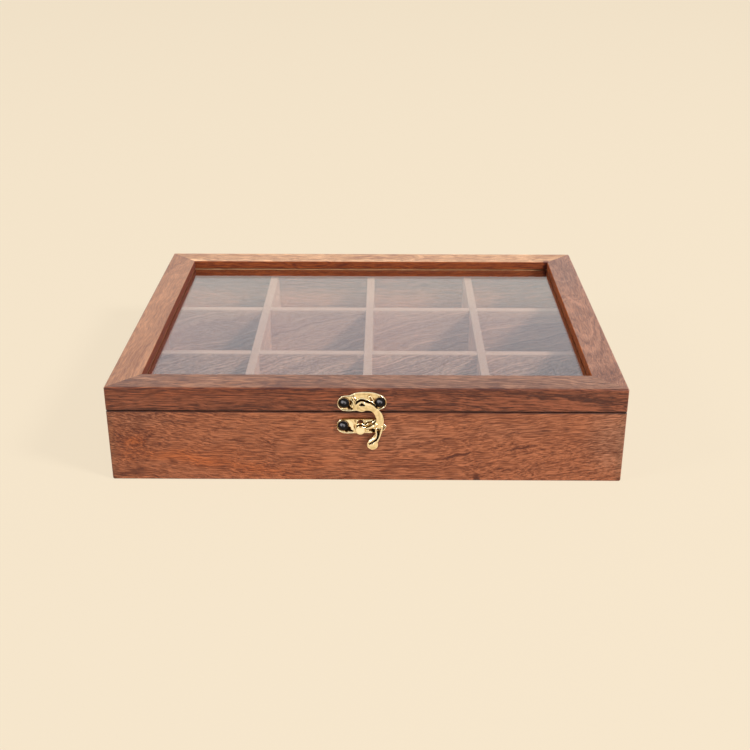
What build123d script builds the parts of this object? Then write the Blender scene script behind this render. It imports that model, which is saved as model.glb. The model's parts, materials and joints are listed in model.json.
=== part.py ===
"""Wooden spice box with a glass lid, twelve compartments, two butt hinges and a hook latch.

The tray is four mitred walls around a rabbeted bottom panel, with an egg-crate of lap-jointed
dividers standing in dados. The lid is four mitred rails grooved around a pane of glass. It turns on
two small butt hinges at the back and is held shut by a riveted hook latch at the front.
Millimetres, +Z up, front at -Y, origin at the middle of the underside.
"""

import os

from build123d import *

# Tray
box_width = 254.0
box_depth = 203.0
tray_height = 38.0
wall = 7.0
corner_radius = 1.0
foot_edge_radius = 0.8
seam_gap = 0.3
seam_edge_radius = 0.5
rim_edge_radius = 0.4

# Bottom panel, flush in a rabbet and nailed from below
panel_thickness = 4.0
rabbet_width = 3.5
panel_clearance = 0.15
nail_radius = 0.6
nail_length = 11.0
nail_head_radius = 1.2
nail_head_height = 0.5
nail_hole_clearance = 0.05
nail_edge_distance = 1.6

# Dividers
column_count = 4
row_count = 3
divider_thickness = 4.5
divider_drop = 0.3
divider_edge_radius = 0.4
dado_depth = 2.0
dado_clearance = 0.1
lap_clearance = 0.1

# Lid frame and glass
lid_thickness = 12.5
rail_width = 16.0
lid_edge_radius = 1.0
window_edge_radius = 0.5
lip_height = 4.5
groove_depth = 4.5
glass_thickness = 3.0
glass_rattle = 0.4
glass_edge_clearance = 0.3

# Wood screws of the hinges and the latch, with a domed head and a crossed recess
screw_radius = 0.9
screw_length = 4.4
screw_tip_length = 1.5
screw_head_radius = 2.45
screw_rim_height = 0.25
screw_dome_height = 0.65
screw_recess_width = 0.6
screw_recess_length = 2.6
screw_recess_depth = 0.45
screw_seat_depth = 0.3
screw_seat_clearance = 0.2
screw_hole_clearance = 0.05

# Butt hinges on the back face
hinge_inset = 42.0
hinge_length = 25.0
leaf_width = 9.5
leaf_thickness = 0.9
leaf_corner_radius = 1.5
knuckle_count = 5
knuckle_radius = 1.6
knuckle_gap = 0.15
knuckle_clearance = 0.25
hinge_standoff = 0.1
hinge_pin_radius = 0.8
hinge_pin_clearance = 0.05
hinge_pin_head_radius = 1.2
hinge_pin_head_length = 0.6
hinge_screw_spacing = 15.0

# Plate of the hook latch, on the lid's front rail
latch_x = -1.6
plate_thickness = 0.9
plate_edge_radius = 0.25
latch_plate_rise = 4.9
latch_lobe_radius = 3.6
latch_screw_spacing = 17.4
crest_offset = 1.4
crest_half_width = 10.4
crest_height = 6.1
crest_margin = 1.4
crest_relief_height = 0.45

# Swing arm of the latch and the rivet that it turns on
pivot_rise = 4.5
pivot_boss_radius = 2.6
arm_lift = 1.9
arm_clearance = 0.1
arm_thickness = 1.2
arm_edge_radius = 0.3
arm_corner_radius = 0.8
arm_eye_radius = 3.1
arm_shoulder_angle = 77.0
arm_underside_angle = -66.0
arm_outer_bow = [(6.1, 0.1), (9.6, -4.0), (10.7, -8.6), (10.0, -13.8)]
arm_inner_bow = [(6.4, -16.2), (7.0, -12.0), (6.9, -8.0), (6.4, -4.4), (4.6, -2.0)]
arm_tab_radius = 2.9
arm_tab_offset = 5.25
arm_tab_drop = 21.8
arm_tail_width = 4.2
arm_tail_overlap = 1.8
hook_radius = 12.25
hook_width = 1.1
hook_start_angle = -95.0
hook_sweep_angle = 42.0
rivet_radius = 1.0
rivet_clearance = 0.05
rivet_head_radius = 1.7
rivet_head_height = 0.7
rivet_dimple_radius = 0.7
rivet_dimple_depth = 0.3

# Catch plate on the tray's front wall, with the tongue that the hook swings behind
catch_left_lobe_radius = 3.8
catch_left_lobe_offset = 8.8
catch_right_lobe_radius = 3.4
catch_right_lobe_offset = 7.7
catch_tip_radius = 1.8
catch_tip_offset = 10.2
catch_drop = 7.3
catch_screw_left = 9.1
catch_screw_right = 7.8
tongue_offset = 0.8
tongue_width = 3.2
tongue_root_height = 1.0
tongue_clearance = 0.35
tongue_head_radius = 2.3
tongue_head_drop = 0.3
tongue_head_thickness = 0.8
tongue_head_clearance = 0.3

# Places that follow from the sizes above
inner_width = box_width - 2 * wall
inner_depth = box_depth - 2 * wall
column_pitch = (inner_width + divider_thickness) / column_count
row_pitch = (inner_depth + divider_thickness) / row_count
column_xs = [(i - (column_count - 1) / 2) * column_pitch for i in range(column_count)]
row_ys = [(i - (row_count - 1) / 2) * row_pitch for i in range(row_count)]
cross_divider_xs = [x + column_pitch / 2 for x in column_xs[:-1]]
long_divider_ys = [y + row_pitch / 2 for y in row_ys[:-1]]
divider_height = tray_height - panel_thickness - divider_drop
divider_slot = divider_thickness + 2 * dado_clearance
lap_height = divider_height / 2 + lap_clearance
cross_divider_length = inner_depth + 2 * (dado_depth - dado_clearance)
long_divider_length = inner_width + 2 * (dado_depth - dado_clearance)
lid_bottom = tray_height + seam_gap
lid_top = lid_bottom + lid_thickness
seam_height = tray_height + seam_gap / 2
groove_height = glass_thickness + glass_rattle
groove_bottom = lid_top - lip_height - groove_height
window_width = box_width - 2 * rail_width
window_depth = box_depth - 2 * rail_width
screw_head_bottom = plate_thickness - screw_seat_depth
screw_top = screw_head_bottom + screw_rim_height + screw_dome_height
hinge_xs = {"left": hinge_inset - box_width / 2, "right": box_width / 2 - hinge_inset}
hinge_axis_y = box_depth / 2 + hinge_standoff + knuckle_radius
knuckle_pitch = hinge_length / knuckle_count
leaf_notch = knuckle_radius + knuckle_clearance
leaf_screw_rise = (leaf_notch + leaf_width) / 2
arm_shoulder = Vector(arm_eye_radius, 0).rotate(Axis.Z, arm_shoulder_angle)
arm_underside = Vector(arm_eye_radius, 0).rotate(Axis.Z, arm_underside_angle)
arm_tail_end = Vector(arm_tab_offset, arm_tail_overlap - arm_tab_drop)
arm_tail_half = Vector(arm_tail_width / 2, 0)

on_floor = (Align.CENTER, Align.CENTER, Align.MIN)
front_face = Plane(origin=(latch_x, -box_depth / 2, seam_height), x_dir=(1, 0, 0), z_dir=(0, -1, 0))
back_face = Plane(origin=(0, box_depth / 2, seam_height), x_dir=(-1, 0, 0), z_dir=(0, 1, 0))
arm_face = Plane(front_face.location * Pos(0, pivot_rise, arm_lift))

os.makedirs("parts", exist_ok=True)


def finish_piece(piece, name):
    """Labels a finished piece and writes it under its own name."""
    piece.part.label = name
    export_step(piece.part, f"parts/{name}.step")


def on_face(face, spots, height=0.0):
    """Locations on a plane, from pairs of a place across and a place up it."""
    return [face.location * Pos(across, up, height) for across, up in spots]


def keep_mitred_side(outward):
    """Cuts a ring down to one side, between the 45 degree mitres at its two corners."""
    along = Vector(outward.Y, outward.X, 0)
    for end in (-1, 1):
        corner = outward + along * end
        origin = (corner.X * box_width / 2, corner.Y * box_depth / 2, 0)
        split(bisect_by=Plane(origin=origin, z_dir=outward - along * end), keep=Keep.TOP)


# Places of the screws on the front and back faces
latch_screw_spots = [(side * latch_screw_spacing / 2, latch_plate_rise) for side in (-1, 1)]
catch_screw_spots = [(-catch_screw_left, -catch_drop), (catch_screw_right, -catch_drop)]


def leaf_screw_spots(rise):
    """Places on the back face of the screws of both leaves above (1) or below (-1) the seam."""
    sides = [(centre, half) for centre in hinge_xs.values() for half in (-1, 1)]
    return [(-centre + half * hinge_screw_spacing / 2, rise * leaf_screw_rise) for centre, half in sides]


# Places of the nails under the bottom panel, one to each compartment along the walls
nail_x = inner_width / 2 + rabbet_width - panel_clearance - nail_edge_distance
nail_y = inner_depth / 2 + rabbet_width - panel_clearance - nail_edge_distance
nail_spots = [(x, side * nail_y) for x in column_xs for side in (-1, 1)]
nail_spots += [(side * nail_x, y) for y in row_ys for side in (-1, 1)]


def cut_nail_holes():
    """Cuts the nails' holes and the seats of their heads out of the open part."""
    with Locations(*[(x, y, 0) for x, y in nail_spots]):
        Cylinder(
            nail_radius + nail_hole_clearance,
            nail_length + nail_hole_clearance,
            align=on_floor,
            mode=Mode.SUBTRACT,
        )
        Cylinder(nail_head_radius + nail_hole_clearance, nail_head_height, align=on_floor, mode=Mode.SUBTRACT)


# Tray ring, which the four walls are cut from
with BuildPart() as tray_ring:
    Box(box_width, box_depth, tray_height, align=on_floor)
    fillet(tray_ring.edges().filter_by(Axis.Z), corner_radius)
    fillet(tray_ring.faces().sort_by(Axis.Z)[0].edges(), foot_edge_radius)
    fillet(tray_ring.faces().sort_by(Axis.Z)[-1].edges(), seam_edge_radius)
    Box(inner_width, inner_depth, tray_height, align=on_floor, mode=Mode.SUBTRACT)
    fillet(tray_ring.faces().sort_by(Axis.Z)[-1].inner_wires()[0].edges(), rim_edge_radius)
    Box(
        inner_width + 2 * rabbet_width,
        inner_depth + 2 * rabbet_width,
        panel_thickness,
        align=on_floor,
        mode=Mode.SUBTRACT,
    )
    with Locations(*[(x, 0, panel_thickness) for x in cross_divider_xs]):
        Box(divider_slot, inner_depth + 2 * dado_depth, tray_height, align=on_floor, mode=Mode.SUBTRACT)
    with Locations(*[(0, y, panel_thickness) for y in long_divider_ys]):
        Box(inner_width + 2 * dado_depth, divider_slot, tray_height, align=on_floor, mode=Mode.SUBTRACT)
    cut_nail_holes()

# Walls, the front one drilled for the catch and the back one for the hinges
wall_screw_places = {
    "front": on_face(front_face, catch_screw_spots),
    "back": on_face(back_face, leaf_screw_spots(-1)),
}
sides = {
    "front": Vector(0, -1, 0),
    "back": Vector(0, 1, 0),
    "left": Vector(-1, 0, 0),
    "right": Vector(1, 0, 0),
}
for side, outward in sides.items():
    with BuildPart() as tray_wall:
        add(tray_ring.part)
        keep_mitred_side(outward)
        if side in wall_screw_places:
            with Locations(*wall_screw_places[side]):
                Hole(screw_radius + screw_hole_clearance, screw_length + screw_hole_clearance)
    finish_piece(tray_wall, f"{side}_wall")

# Bottom panel and its nails
with BuildPart() as bottom_panel:
    Box(
        inner_width + 2 * (rabbet_width - panel_clearance),
        inner_depth + 2 * (rabbet_width - panel_clearance),
        panel_thickness,
        align=on_floor,
    )
    cut_nail_holes()
finish_piece(bottom_panel, "bottom_panel")

with BuildPart() as bottom_panel_nails:
    with Locations(*[(x, y, 0) for x, y in nail_spots]):
        Cylinder(nail_radius, nail_length, align=on_floor)
        Cylinder(nail_head_radius, nail_head_height, align=on_floor)
finish_piece(bottom_panel_nails, "bottom_panel_nails")

# Dividers that run front to back, slotted from below
for number, x in enumerate(cross_divider_xs, start=1):
    with BuildPart() as cross_divider:
        with Locations((x, 0, panel_thickness)):
            Box(divider_thickness, cross_divider_length, divider_height, align=on_floor)
        top = cross_divider.faces().sort_by(Axis.Z)[-1]
        fillet(top.edges().filter_by(Axis.Y), divider_edge_radius)
        with Locations(*[(x, y, panel_thickness) for y in long_divider_ys]):
            Box(divider_slot, divider_slot, lap_height, align=on_floor, mode=Mode.SUBTRACT)
    finish_piece(cross_divider, f"cross_divider_{number}")

# Dividers that run left to right, slotted from above
for number, y in enumerate(long_divider_ys, start=1):
    with BuildPart() as long_divider:
        with Locations((0, y, panel_thickness)):
            Box(long_divider_length, divider_thickness, divider_height, align=on_floor)
        top = long_divider.faces().sort_by(Axis.Z)[-1]
        fillet(top.edges().filter_by(Axis.X), divider_edge_radius)
        with Locations(*[(x, y, panel_thickness + divider_height) for x in cross_divider_xs]):
            Box(
                divider_slot,
                divider_slot,
                2 * lap_height,
                align=(Align.CENTER, Align.CENTER, Align.CENTER),
                mode=Mode.SUBTRACT,
            )
    finish_piece(long_divider, f"long_divider_{number}")

# Lid ring, which the four rails are cut from
with BuildPart() as lid_ring:
    with Locations((0, 0, lid_bottom)):
        Box(box_width, box_depth, lid_thickness, align=on_floor)
    fillet(lid_ring.edges().filter_by(Axis.Z), corner_radius)
    fillet(lid_ring.faces().sort_by(Axis.Z)[-1].edges(), lid_edge_radius)
    fillet(lid_ring.faces().sort_by(Axis.Z)[0].edges(), seam_edge_radius)
    with Locations((0, 0, lid_bottom)):
        Box(window_width, window_depth, lid_thickness, align=on_floor, mode=Mode.SUBTRACT)
    fillet(lid_ring.faces().sort_by(Axis.Z)[-1].inner_wires()[0].edges(), window_edge_radius)
    fillet(lid_ring.faces().sort_by(Axis.Z)[0].inner_wires()[0].edges(), window_edge_radius)
    with Locations((0, 0, groove_bottom)):
        Box(
            window_width + 2 * groove_depth,
            window_depth + 2 * groove_depth,
            groove_height,
            align=on_floor,
            mode=Mode.SUBTRACT,
        )

# Lid rails, the front one drilled for the latch and the back one for the hinges
rail_screw_places = {
    "front": on_face(front_face, latch_screw_spots),
    "back": on_face(back_face, leaf_screw_spots(1)),
}
for side, outward in sides.items():
    with BuildPart() as lid_rail:
        add(lid_ring.part)
        keep_mitred_side(outward)
        if side in rail_screw_places:
            with Locations(*rail_screw_places[side]):
                Hole(screw_radius + screw_hole_clearance, screw_length + screw_hole_clearance)
    finish_piece(lid_rail, f"lid_{side}_rail")

with BuildPart() as glass_pane:
    with Locations((0, 0, groove_bottom)):
        Box(
            window_width + 2 * (groove_depth - glass_edge_clearance),
            window_depth + 2 * (groove_depth - glass_edge_clearance),
            glass_thickness,
            align=on_floor,
        )
finish_piece(glass_pane, "glass_pane")

# Wood screw that every plate is held by, standing on the wood's face with its point below it
with BuildPart() as wood_screw:
    with BuildSketch(Plane.XZ):
        with BuildLine():
            Polyline(
                (screw_head_radius, screw_head_bottom + screw_rim_height),
                (screw_head_radius, screw_head_bottom),
                (screw_radius, screw_head_bottom),
                (screw_radius, screw_tip_length - screw_length),
                (0, -screw_length),
                (0, screw_top),
            )
            SagittaArc(
                (0, screw_top),
                (screw_head_radius, screw_head_bottom + screw_rim_height),
                screw_dome_height / 4,
            )
        make_face()
    revolve(axis=Axis.Z)
    with Locations((0, 0, screw_top)):
        Box(screw_recess_length, screw_recess_width, 2 * screw_recess_depth, mode=Mode.SUBTRACT)
        Box(screw_recess_width, screw_recess_length, 2 * screw_recess_depth, mode=Mode.SUBTRACT)


def finish_screws(face, spots, name):
    """Puts a wood screw on each spot of a face and writes them as one group."""
    with BuildPart() as screws:
        with Locations(*on_face(face, spots)):
            add(wood_screw.part)
    finish_piece(screws, name)


def cut_screw_seats(face, spots, relief=0.0):
    """Drills an open plate for its screws and sinks a flat seat for each head."""
    with Locations(*on_face(face, spots, plate_thickness + relief)):
        CounterBoreHole(
            screw_radius + screw_hole_clearance,
            screw_head_radius + screw_seat_clearance,
            screw_seat_depth + relief,
            plate_thickness + relief,
        )


# Butt hinges, each a leaf on the tray with the odd knuckles, one on the lid and a pin
def finish_leaf(centre, rise, knuckles, name):
    """A leaf with its share of the knuckles, above (1) or below (-1) the seam."""
    others = [k for k in range(knuckle_count) if k not in knuckles]
    places = [(k - (knuckle_count - 1) / 2) * knuckle_pitch for k in range(knuckle_count)]
    leaf_face = Plane(back_face.location * Pos(-centre, 0, 0))
    with BuildPart() as leaf:
        with BuildSketch(leaf_face) as outline:
            with Locations((0, rise * leaf_width / 2)):
                Rectangle(hinge_length, leaf_width)
            outer_corners = outline.vertices().filter_by(lambda corner: abs(corner.Y) > leaf_width / 2)
            fillet(outer_corners, leaf_corner_radius)
            with Locations(*[(places[k], 0) for k in others]):
                Rectangle(knuckle_pitch + knuckle_gap, 2 * leaf_notch, mode=Mode.SUBTRACT)
        extrude(amount=leaf_thickness)
        with Locations(*[(centre + places[k], hinge_axis_y, seam_height) for k in knuckles]):
            Cylinder(knuckle_radius, knuckle_pitch - knuckle_gap, rotation=(0, 90, 0))
        with Locations((centre, hinge_axis_y, seam_height)):
            Cylinder(
                hinge_pin_radius + hinge_pin_clearance,
                2 * hinge_length,
                rotation=(0, 90, 0),
                mode=Mode.SUBTRACT,
            )
        own_screws = [(side * hinge_screw_spacing / 2, rise * leaf_screw_rise) for side in (-1, 1)]
        cut_screw_seats(leaf_face, own_screws)
    finish_piece(leaf, name)


for side, centre in hinge_xs.items():
    finish_leaf(centre, -1, range(0, knuckle_count, 2), f"{side}_hinge_base_leaf")
    finish_leaf(centre, 1, range(1, knuckle_count, 2), f"{side}_hinge_lid_leaf")
    with BuildPart() as hinge_pin:
        with Locations((centre, hinge_axis_y, seam_height)):
            Cylinder(hinge_pin_radius, hinge_length, rotation=(0, 90, 0))
        for end in (-1, 1):
            head_x = centre + end * (hinge_length + hinge_pin_head_length) / 2
            with Locations((head_x, hinge_axis_y, seam_height)):
                Cylinder(hinge_pin_head_radius, hinge_pin_head_length, rotation=(0, 90, 0))
    finish_piece(hinge_pin, f"{side}_hinge_pin")

finish_screws(back_face, leaf_screw_spots(-1), "hinge_base_screws")
finish_screws(back_face, leaf_screw_spots(1), "hinge_lid_screws")

# Latch plate: two lobes under an arched crest, with a boss that the arm's eye turns on
with BuildPart() as latch_plate:
    with BuildSketch(front_face):
        with Locations((crest_offset, latch_plate_rise)):
            Ellipse(crest_half_width, crest_height)
        with Locations((crest_offset, latch_plate_rise - latch_lobe_radius)):
            Rectangle(
                2 * crest_half_width,
                2 * crest_height,
                align=(Align.CENTER, Align.MIN),
                mode=Mode.INTERSECT,
            )
        with Locations(*latch_screw_spots):
            Circle(latch_lobe_radius)
    extrude(amount=plate_thickness)
    rim = latch_plate.faces().sort_by(Axis.Y)[0].outer_wire().edges()
    fillet(rim, plate_edge_radius)
    with BuildSketch(Plane(front_face.location * Pos(0, 0, plate_thickness))):
        with Locations((crest_offset, latch_plate_rise)):
            Ellipse(crest_half_width - crest_margin, crest_height - crest_margin)
            Rectangle(
                2 * crest_half_width,
                2 * crest_height,
                align=(Align.CENTER, Align.MIN),
                mode=Mode.INTERSECT,
            )
    extrude(amount=crest_relief_height)
    with Locations(front_face.location * Pos(0, pivot_rise, 0)):
        Cylinder(pivot_boss_radius, arm_lift - arm_clearance, align=on_floor)
        Cylinder(
            rivet_radius + rivet_clearance,
            arm_lift,
            align=on_floor,
            mode=Mode.SUBTRACT,
        )
    cut_screw_seats(front_face, latch_screw_spots, crest_relief_height)
finish_piece(latch_plate, "latch_plate")
finish_screws(front_face, latch_screw_spots, "latch_plate_screws")

# Swing arm: an eye, a curved arm down to a thumb tab, and a hook concentric with the eye
with BuildPart() as latch_arm:
    with BuildSketch(arm_face) as outline:
        with BuildLine():
            outer = Spline(arm_shoulder, *arm_outer_bow, arm_tail_end + arm_tail_half)
            tail = Line(outer @ 1, arm_tail_end - arm_tail_half)
            inner = Spline(tail @ 1, *arm_inner_bow, arm_underside)
            Line(inner @ 1, outer @ 0)
        make_face()
        Circle(arm_eye_radius)
        with BuildLine():
            hook_line = CenterArc((0, 0), hook_radius, hook_start_angle, hook_sweep_angle)
        SlotArc(hook_line, hook_width)
        with Locations((arm_tab_offset, -arm_tab_drop)):
            Circle(arm_tab_radius)
        hook_tip = hook_line @ 0
        corners = outline.vertices().filter_by(lambda corner: (corner.center() - hook_tip).length > hook_width)
        fillet(corners, arm_corner_radius)
        Circle(rivet_radius + rivet_clearance, mode=Mode.SUBTRACT)
    extrude(amount=arm_thickness)
    rim = latch_arm.faces().sort_by(Axis.Y)[0].outer_wire().edges()
    fillet(rim, arm_edge_radius)
finish_piece(latch_arm, "latch_arm")

with BuildPart() as latch_rivet:
    with Locations(front_face.location * Pos(0, pivot_rise, 0)):
        Cylinder(rivet_radius, arm_lift + arm_thickness + arm_clearance, align=on_floor)
    with Locations(arm_face.location * Pos(0, 0, arm_thickness + arm_clearance)):
        Cylinder(rivet_head_radius, rivet_head_height, align=on_floor)
    face = latch_rivet.faces().sort_by(Axis.Y)[0]
    fillet(face.edges(), rivet_head_height / 2)
    with Locations(arm_face.location * Pos(0, 0, arm_thickness + arm_clearance + rivet_head_height)):
        CounterSinkHole(rivet_dimple_depth / 4, rivet_dimple_radius, rivet_dimple_depth, 90)
finish_piece(latch_rivet, "latch_rivet")

# Catch plate: a tapered plate whose tongue rises beside the hook and ends in a round head over it
hook_inner = pivot_rise - hook_radius + hook_width / 2
tongue_bottom = hook_inner + tongue_clearance
head_bottom = arm_lift + arm_thickness + tongue_head_clearance
with BuildPart() as catch_plate:
    with BuildSketch(front_face):
        with Locations((-catch_left_lobe_offset, -catch_drop)):
            Circle(catch_left_lobe_radius)
        with Locations((catch_right_lobe_offset, -catch_drop)):
            Circle(catch_right_lobe_radius)
        with Locations((catch_tip_offset, -catch_drop)):
            Circle(catch_tip_radius)
        make_hull()
    extrude(amount=plate_thickness)
    rim = catch_plate.faces().sort_by(Axis.Y)[0].outer_wire().edges()
    fillet(rim, plate_edge_radius)
    with BuildSketch(front_face):
        with Locations((-tongue_offset, tongue_bottom)):
            Rectangle(tongue_width, tongue_root_height, align=(Align.CENTER, Align.MIN))
    extrude(amount=head_bottom + tongue_head_thickness)
    with BuildSketch(Plane(front_face.location * Pos(0, 0, head_bottom))):
        with Locations((-tongue_offset, pivot_rise - hook_radius - tongue_head_drop)):
            Circle(tongue_head_radius)
    extrude(amount=tongue_head_thickness)
    cut_screw_seats(front_face, catch_screw_spots)
finish_piece(catch_plate, "catch_plate")
finish_screws(front_face, catch_screw_spots, "catch_plate_screws")
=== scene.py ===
# %% [markdown]
# # A rosewood spice box with a glass lid
#
# The box is a low tray of twelve compartments under a hinged lid. The lid is a mitred frame around
# a pane of glass, and a small cast brass latch holds it shut at the front. The construction comes
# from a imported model, so this lesson is about finishes: wood with real grain, clear glass, polished
# brass and blackened screws. Only the latch's cast pieces are modelled again here, with their relief.

# %% Load the frame
import json
from math import cos, pi, radians, sin

import bmesh
import bpy
import numpy as np
from mathutils import Matrix, Vector

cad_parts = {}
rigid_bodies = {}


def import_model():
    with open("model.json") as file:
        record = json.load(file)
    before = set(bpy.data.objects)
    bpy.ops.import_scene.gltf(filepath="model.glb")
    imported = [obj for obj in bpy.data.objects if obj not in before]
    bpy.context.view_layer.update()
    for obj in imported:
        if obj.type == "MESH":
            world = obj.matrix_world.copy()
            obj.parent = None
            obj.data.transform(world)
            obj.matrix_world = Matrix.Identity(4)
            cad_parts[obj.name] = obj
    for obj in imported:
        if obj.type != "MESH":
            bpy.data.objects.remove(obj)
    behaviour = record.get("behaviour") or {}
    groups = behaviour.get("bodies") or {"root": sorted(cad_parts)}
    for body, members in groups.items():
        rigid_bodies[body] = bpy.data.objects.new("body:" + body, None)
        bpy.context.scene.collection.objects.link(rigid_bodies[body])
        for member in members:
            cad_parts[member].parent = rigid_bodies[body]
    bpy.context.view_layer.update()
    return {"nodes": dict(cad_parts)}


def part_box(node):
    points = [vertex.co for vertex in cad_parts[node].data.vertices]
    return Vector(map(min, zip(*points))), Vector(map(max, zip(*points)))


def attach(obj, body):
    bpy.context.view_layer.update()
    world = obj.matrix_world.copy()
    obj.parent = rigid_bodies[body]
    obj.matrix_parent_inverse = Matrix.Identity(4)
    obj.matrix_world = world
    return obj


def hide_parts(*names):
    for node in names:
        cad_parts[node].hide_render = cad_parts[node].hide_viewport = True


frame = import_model()
MM = 0.001

# %% [markdown]
# ## The camera
#
# The picture was taken from a little above the box and straight in front of it. A lens is settled
# by the angle that it sees, and the place by how fast the box narrows towards its back. Both are
# stated as real distances from the front face and the lid's top, so they can be checked by eye.

# %% Camera
front_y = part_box("front_wall")[0].y
lid_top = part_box("lid_front_rail")[1].z
camera_ahead = 497.1 * MM
camera_above = 234.9 * MM
camera_right = 9.1 * MM
camera_dip = radians(24.615)
camera_swing = radians(0.543)


def placed(name, data):
    """Puts data into the scene as an object at the origin."""
    made = bpy.data.objects.new(name, data)
    bpy.context.scene.collection.objects.link(made)
    return made


camera_data = bpy.data.cameras.new("camera")
camera_data.sensor_width = 36.0
camera_data.sensor_fit = "HORIZONTAL"
camera_data.lens = 54.78
camera = placed("camera", camera_data)
camera.location = (camera_right, front_y - camera_ahead, lid_top + camera_above)
camera.rotation_euler = (pi / 2 - camera_dip, 0, camera_swing)
bpy.context.scene.camera = camera
print("camera stands at", [round(v, 3) for v in camera.location])

# %% [markdown]
# ## A bench for materials
#
# Every finish here is a small node tree. Wiring nodes by hand is long to write and hard to read, so
# a few small classes do it. A Signal wraps a socket, and arithmetic on it adds Math nodes, so that
# `1 - mask` means what it says. A Wiring holds one node tree, and its `node` method adds any other
# node from its type, its settings and what goes into its sockets. A Finish is the wiring of one
# material, and the room's light is wired with the same tools at the end.

# %% Signals
class Signal:
    """The value on a node's output; arithmetic on it adds Math nodes."""

    def __init__(self, wiring, socket):
        self.wiring = wiring
        self.socket = socket

    def output(self, name):
        """Another output of the same node."""
        return Signal(self.wiring, self.socket.node.outputs[name])

    def maths(self, operation, first, second=0.0):
        return self.wiring.node("ShaderNodeMath", {"operation": operation}, {0: first, 1: second})

    def __add__(self, other):
        return self.maths("ADD", self, other)

    __radd__ = __add__

    def __sub__(self, other):
        return self.maths("SUBTRACT", self, other)

    def __rsub__(self, other):
        return self.maths("SUBTRACT", other, self)

    def __mul__(self, other):
        return self.maths("MULTIPLY", self, other)

    __rmul__ = __mul__

    def __pow__(self, other):
        return self.maths("POWER", self, other)

    def __abs__(self):
        return self.maths("ABSOLUTE", self)

    def most(self, other):
        return self.maths("MAXIMUM", self, other)


print("a signal can be added, subtracted and multiplied")

# %% Wiring and finishes
class Wiring:
    """A node tree and the tools to wire it."""

    def __init__(self, tree):
        self.tree = tree
        self.tree.nodes.clear()

    def node(self, kind, settings=None, inputs=None):
        """Adds a node, sets it up, fills or links its sockets and gives its first output."""
        made = self.tree.nodes.new(kind)
        for key, value in (settings or {}).items():
            if key == "stops":
                ramp = made.color_ramp
                while len(ramp.elements) < len(value):
                    ramp.elements.new(1.0)
                for stop, (place, colour) in zip(ramp.elements, value):
                    stop.position = place
                    stop.color = (*colour, 1.0)
            else:
                setattr(made, key, value)
        for key, value in (inputs or {}).items():
            if isinstance(value, Signal):
                self.tree.links.new(value.socket, made.inputs[key])
            else:
                made.inputs[key].default_value = value
        return Signal(self, made.outputs[0]) if made.outputs else made

    def noise(self, place, scale=1.0, detail=2.0, roughness=0.5):
        """Smooth noise of about 0 to 1 at a place."""
        sockets = {"Vector": place, "Scale": scale, "Detail": detail, "Roughness": roughness}
        return self.node("ShaderNodeTexNoise", {}, sockets)

    def streaks(self, along, scale, detail=2.0):
        """Irregular bands along one number, as smooth one-dimensional noise."""
        sockets = {"W": along, "Scale": scale, "Detail": detail}
        return self.node("ShaderNodeTexNoise", {"noise_dimensions": "1D"}, sockets)

    def ramp(self, factor, low, high):
        """A soft step from 0 at low to 1 at high."""
        sockets = {"Value": factor, "From Min": low, "From Max": high}
        return self.node("ShaderNodeMapRange", {"interpolation_type": "SMOOTHSTEP"}, sockets)

    def tint(self, factor, first, second, way="MIX"):
        """Mixes two colours by a factor."""
        rgb = {"data_type": "RGBA", "blend_type": way}
        first = (*first, 1.0) if isinstance(first, tuple) else first
        second = (*second, 1.0) if isinstance(second, tuple) else second
        mixed = self.node("ShaderNodeMix", rgb, {0: factor, 6: first, 7: second})
        return Signal(self, mixed.socket.node.outputs[2])

    def blend(self, factor, first, second):
        """Mixes two shaders by a factor."""
        return self.node("ShaderNodeMixShader", {}, {0: factor, 1: first, 2: second})


class Finish(Wiring):
    """The wiring of one material."""

    def __init__(self, name):
        self.material = bpy.data.materials.new(name)
        self.material.use_nodes = True
        super().__init__(self.material.node_tree)

    def surface(self, shader):
        """Makes a shader the material's surface."""
        self.node("ShaderNodeOutputMaterial", {}, {"Surface": shader})
        return self.material


def dress(names, material):
    """Gives CAD pieces their finish through their own material slots."""
    for name in names:
        for material_slot in frame["nodes"][name].material_slots:
            material_slot.material = material


print("the bench for materials is ready")

# %% [markdown]
# ## Rosewood
#
# A board shows the log that it was cut from. The growth rings are shells around the log's heart, so
# on a board they are bands that run along the grain and drift slowly across it. A flat image would
# repeat and stretch on the edges. Here every face of a board is cut from the same block of grain, as
# in the workshop. The bands come from the distance to a heart line outside the board, bent by slow
# noise. Fibres are fine noise stretched along the grain, and they follow the same bends.

# %% Grain
X_GRAIN = 0.0
Y_GRAIN = pi / 2
BANDS_PER_METRE = {"broad": 34.0, "bands": 130.0, "rings": 560.0, "lines": 1500.0}
SWAY = (6, 24, 24)
RIPPLE = (55, 90, 90)
FIBRES = (125, 1800, 1800)
FLECKS = (90, 950, 950)
PORES = (120, 2900, 2900)
SWAY_BENDS = 16 * MM
RIPPLE_BENDS = 2.2 * MM


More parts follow.
